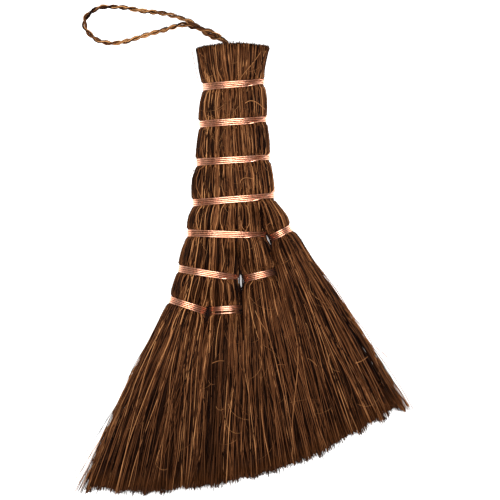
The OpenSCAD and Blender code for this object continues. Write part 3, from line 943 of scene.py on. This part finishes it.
# The open loop, from its upper leg round to its lower one: x, y from the root, and a share of its height
LOOP_ROUTE = [
    (-28, 14.7, 0.42), (-34, 16.8, 0.26), (-40, 18, 0.12), (-47.5, 19, 0.03), (-55, 20, 0),
    (-62.5, 21.5, 0), (-70, 22, 0), (-77.5, 21.5, 0), (-82.5, 18.5, 0), (-86, 14.5, 0),
    (-86, 9.5, 0), (-82.5, 5, 0), (-77.5, 1.5, 0), (-70, 0, 0), (-62.5, 1, 0),
    (-55, 3, 0), (-47.5, 5.5, 0.03), (-40, 7.5, 0.12), (-34, 9.2, 0.26), (-28, 10.8, 0.42),
]
# The legs inside the neck, from the knot up to the root
INNER_LEG = [(0, -21, 1.32), (0, -14, 1.32), (0, -7, 1.35), (-0.2, -2.6, 1.4), (-1.2, 0.1, 1.45)]


def rope_route():
    root = ROOT / MM
    direction = unit(xy(-2, 1))
    sideways = xy(-direction[1], direction[0])

    def height(share):
        return mix(ROPE_D / 2, root[2], share)

    def pair(k, leg):
        f = k / (PAIR_POINTS - 1)
        turn = math.radians(PAIR_TURN * f)
        flat = root[:2] + leg * LEG_HALF * math.sin(turn) * sideways + mix(PAIR_FROM, PAIR_TO, f) * direction
        return [*flat, height(mix(1, PAIR_LOW, f)) + leg * LEG_HALF * math.cos(turn)]

    def inner(leg):
        return [[root[0] + x, root[1] + y, root[2] + leg * z] for x, y, z in INNER_LEG]

    points = inner(1) + [pair(k, 1) for k in range(PAIR_POINTS)]
    points += [[root[0] + x, root[1] + y, height(h)] for x, y, h in LOOP_ROUTE]
    points += [pair(k, -1) for k in range(PAIR_POINTS - 1, -1, -1)] + inner(-1)[::-1]
    return np.array(points)


def rope():
    rng = np.random.default_rng(700)
    line, length = evenly(through(rope_route(), 6), 0.9)
    run = np.gradient(line, axis=0)
    run /= np.linalg.norm(run, axis=1, keepdims=True)
    side = np.cross(run, [0, 0, 1.0])
    side /= np.linalg.norm(side, axis=1, keepdims=True)
    up = np.cross(side, run)
    m = len(line)
    far = np.linspace(0, length, m)
    strands, radii, tones = [], [], []
    for ply in range(2):
        twist = 2 * math.pi * far / 12 + ply * math.pi
        hub = 0.8 * (1 + 0.12 * np.sin(far / 9 + ply))
        for k in range(9):
            ring = 0.0 if k == 8 else 0.55 + 0.1 * np.sin(far / rng.uniform(4, 9) + rng.uniform(0, 6))
            angle = 2 * math.pi * k / 8 - 2 * math.pi * far / 19 + twist * 0.5
            x = hub * np.cos(twist) + ring * np.cos(angle)
            y = hub * np.sin(twist) + ring * np.sin(angle)
            x = x + 0.07 * np.sin(far / rng.uniform(1.5, 3) + rng.uniform(0, 6))
            y = y + 0.07 * np.sin(far / rng.uniform(1.5, 3) + rng.uniform(0, 6))
            strands.append(line + x[:, None] * side + y[:, None] * up)
            thick = rng.uniform(0.2, 0.34)
            radii.append(thick * (1 + 0.15 * np.sin(far / rng.uniform(3, 8) + rng.uniform(0, 6))))
            light = rng.choice([0.0, 0.1, 0.2, 0.3, 0.45, 1.0])
            tones.append(np.clip(light + 0.2 * np.sin(far / rng.uniform(4, 14) + rng.uniform(0, 6)), 0, 1))
    strands = np.array(strands)
    strands[:, :, 2] = np.maximum(strands[:, :, 2], LOWEST)
    verts, quads, tris = tubes(strands, np.array(radii), 5, np.zeros(len(strands)))
    obj = make_piece("palm_rope", verts * MM, quads, tris, np.repeat(np.array(tones).ravel(), 5))
    finish_piece(obj, PALM_ROPE, None)
    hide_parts("hanging_loop", "loop_tail")
    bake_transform(obj)
    hairs = rope_hairs(rng, line, run, side, up)
    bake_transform(hairs)


def rope_hairs(rng, line, run, side, up):
    """Broken fibres that stand out of the rope."""
    n, m = 420, 7
    at = rng.integers(22, len(line) - 22, n)
    turn = rng.uniform(0, 2 * math.pi, n)
    radial = np.cos(turn)[:, None] * side[at] + np.sin(turn)[:, None] * up[at]
    radial[:, 2] = np.abs(radial[:, 2])
    way = np.where(rng.uniform(0, 1, n) < 0.5, 1.0, -1.0)[:, None] * run[at]
    long = rng.gamma(2.2, 1.25, n)[:, None]
    lean = rng.uniform(0.25, 1.0, n)[:, None]
    bend = rng.normal(0, 0.35, (n, 3))
    s = np.linspace(0, 1, m)[None, :, None]
    start = line[at] + radial * 0.7
    hairs = start[:, None] + s * (long * (way + lean * radial))[:, None] + (s**2) * (long * bend)[:, None]
    hairs[:, :, 2] = np.maximum(hairs[:, :, 2], 0.15)
    radii = rng.uniform(0.05, 0.11, (n, 1)) * mix(1, 0.4, np.linspace(0, 1, m)[None])
    verts, quads, tris = tubes(hairs, radii, 3, rng.uniform(0, 6, n))
    tones = np.repeat(rng.uniform(0.2, 1, (n, 1)) * np.ones((1, m)), 3, axis=1)
    obj = make_piece("rope_hairs", verts * MM, quads, tris, tones)
    finish_piece(obj, PALM_ROPE, None)
    return obj


# ---------------------------------------------------------------- materials
def new_material(name):
    material = bpy.data.materials.new(name)
    material.use_nodes = True
    nodes = material.node_tree.nodes
    return material, nodes, material.node_tree.links, nodes["Principled BSDF"]


def ramp(nodes, stops):
    node = nodes.new("ShaderNodeValToRGB")
    band = node.color_ramp
    band.elements[0].position, band.elements[0].color = stops[0][0], (*stops[0][1], 1)
    band.elements[1].position, band.elements[1].color = stops[-1][0], (*stops[-1][1], 1)
    for place, colour in stops[1:-1]:
        band.elements.new(place).color = (*colour, 1)
    return node


def noise(nodes, links, scale, detail, stretch=(1, 1, 1)):
    coords = nodes.new("ShaderNodeTexCoord")
    mapping = nodes.new("ShaderNodeMapping")
    mapping.inputs["Scale"].default_value = stretch
    texture = nodes.new("ShaderNodeTexNoise")
    texture.inputs["Scale"].default_value = scale
    texture.inputs["Detail"].default_value = detail
    links.new(coords.outputs["Object"], mapping.inputs["Vector"])
    links.new(mapping.outputs["Vector"], texture.inputs["Vector"])
    return texture


def fibre_material(name, stops, drift, roughness):
    """Dry palm fibre: each fibre's tone, its own colour or painted shade for deep and hidden fibres, drifting
    along it, on a ramp from near black to tan.
    """
    material, nodes, links, shader = new_material(name)
    tone = nodes.new("ShaderNodeAttribute")
    tone.attribute_name = "tone"
    patches = noise(nodes, links, 90, 3)
    shift = nodes.new("ShaderNodeMath")
    shift.operation = "MULTIPLY_ADD"
    shift.inputs[1].default_value = drift
    shift.inputs[2].default_value = 1 - drift / 2
    links.new(patches.outputs["Fac"], shift.inputs[0])
    total = nodes.new("ShaderNodeMath")
    total.operation = "MULTIPLY"
    links.new(tone.outputs["Fac"], total.inputs[0])
    links.new(shift.outputs[0], total.inputs[1])
    colours = ramp(nodes, stops)
    links.new(total.outputs[0], colours.inputs["Fac"])
    links.new(colours.outputs["Color"], shader.inputs["Base Color"])
    shader.inputs["Roughness"].default_value = roughness
    shader.inputs["Specular IOR Level"].default_value = 0.03
    return material


def core_shade_material():
    material, nodes, links, shader = new_material("fibre_core_painted_shade")
    streaks = noise(nodes, links, 1400, 4, (1, 0.03, 1))
    # Painted shade: the core is near black, standing in for the shade deep between the fibres
    colours = ramp(nodes, [(0.3, (0.002, 0.001, 0.0005)), (0.7, (0.012, 0.005, 0.003))])
    links.new(streaks.outputs["Fac"], colours.inputs["Fac"])
    links.new(colours.outputs["Color"], shader.inputs["Base Color"])
    shader.inputs["Roughness"].default_value = 0.9
    shader.inputs["Specular IOR Level"].default_value = 0.0
    return material


def copper_material():
    material, nodes, links, shader = new_material("copper_wire")
    stain = noise(nodes, links, 160, 3)
    colours = ramp(nodes, [(0.3, (0.74, 0.32, 0.19)), (0.55, (0.88, 0.44, 0.29)), (0.8, (0.96, 0.58, 0.42))])
    links.new(stain.outputs["Fac"], colours.inputs["Fac"])
    links.new(colours.outputs["Color"], shader.inputs["Base Color"])
    shader.inputs["Metallic"].default_value = 1.0
    wear = noise(nodes, links, 200, 2)
    rough = nodes.new("ShaderNodeMapRange")
    rough.inputs["To Min"].default_value = 0.28
    rough.inputs["To Max"].default_value = 0.36
    links.new(wear.outputs["Fac"], rough.inputs["Value"])
    links.new(rough.outputs["Result"], shader.inputs["Roughness"])
    return material


FIBRE_STOPS = [
    (0.0, (0.004, 0.001, 0.0005)),
    (0.18, (0.022, 0.007, 0.002)),
    (0.45, (0.076, 0.026, 0.009)),
    (0.72, (0.165, 0.064, 0.024)),
    (1.0, (0.385, 0.172, 0.066)),
]
ROPE_STOPS = [
    (0.0, (0.004, 0.001, 0.0005)),
    (0.35, (0.030, 0.010, 0.004)),
    (0.7, (0.120, 0.044, 0.015)),
    (1.0, (0.500, 0.240, 0.090)),
]
PALM_FIBRE = fibre_material("palm_fibre", FIBRE_STOPS, 0.7, 0.55)
PALM_ROPE = fibre_material("palm_rope", ROPE_STOPS, 0.9, 0.6)
CORE_PAINTED_SHADE = core_shade_material()
COPPER = copper_material()


# ---------------------------------------------------------------- camera, light and floor
VIEW_HEIGHT = 2.5
FIELD = 0.300
FLOOR_HALF = 3.0
WORLD_LIGHT = 0.1
# The softbox hangs over the broom's middle: its place, size and power
SOFTBOX_PLACE, SOFTBOX_SIZE, SOFTBOX_POWER = (0.0, 0.02, 1.1), (1.1, 0.36), 33
# The view's centre, from the middle of the fourth binding
VIEW_CENTRE = (0.0099, -0.0302)


def make_camera():
    data = bpy.data.cameras.new("camera")
    data.sensor_width = 36
    data.lens = data.sensor_width * (VIEW_HEIGHT - MID_Z) / FIELD
    camera = bpy.data.objects.new("camera", data)
    camera.location = (ORIGIN[0] + VIEW_CENTRE[0], ORIGIN[1] + VIEW_CENTRE[1], VIEW_HEIGHT)
    bpy.context.scene.collection.objects.link(camera)
    bpy.context.scene.camera = camera


def area_light(name, place, target, size, power):
    data = bpy.data.lights.new(name, "AREA")
    data.shape = "RECTANGLE"
    data.size, data.size_y = size
    data.energy = power
    light = bpy.data.objects.new(name, data)
    light.location = place
    light.rotation_euler = (Vector(target) - Vector(place)).to_track_quat("-Z", "Y").to_euler()
    bpy.context.scene.collection.objects.link(light)


def make_studio():
    scene = bpy.context.scene
    scene.view_settings.view_transform = "Standard"
    scene.view_settings.look = "None"
    world = bpy.data.worlds.new("studio")
    world.use_nodes = True
    world.node_tree.nodes["Background"].inputs["Color"].default_value = (1, 1, 1, 1)
    world.node_tree.nodes["Background"].inputs["Strength"].default_value = WORLD_LIGHT
    scene.world = world
    below = (SOFTBOX_PLACE[0], SOFTBOX_PLACE[1], 0)
    area_light("softbox", SOFTBOX_PLACE, below, SOFTBOX_SIZE, SOFTBOX_POWER)
    mesh = bpy.data.meshes.new("floor")
    corners = [(x * FLOOR_HALF, y * FLOOR_HALF, 0) for x, y in ((-1, -1), (1, -1), (1, 1), (-1, 1))]
    mesh.from_pydata(corners, [], [(0, 1, 2, 3)])
    floor = bpy.data.objects.new("floor", mesh)
    scene.collection.objects.link(floor)
    material, _, _, shader = new_material("pale_floor")
    shader.inputs["Base Color"].default_value = (0.93, 0.93, 0.93, 1)
    shader.inputs["Roughness"].default_value = 0.9
    shader.inputs["Specular IOR Level"].default_value = 0.1
    shader.inputs["Emission Color"].default_value = (1, 1, 1, 1)
    shader.inputs["Emission Strength"].default_value = 0.4
    mesh.materials.append(material)


# ---------------------------------------------------------------- making
make_camera()
make_studio()
rope()
bindings()
for bundle in range(4):
    core(bundle)
    neck_fibres(bundle)
    brush_fibres(bundle)
    tip_ends(bundle)
edge_fibres()
seam_shade_fibres()
cut_end_fibres()
laid_hairs("curled_hairs", random_hairs(), (0.05, 0.1), (0.6, 1.0), 501)
laid_hairs("loose_hairs", drawn_hairs(), (0.2, 0.29), (0.45, 0.95), 502)

knot = frame["nodes"]["loop_knot"]
knot.data.materials.clear()
knot.data.materials.append(PALM_ROPE)
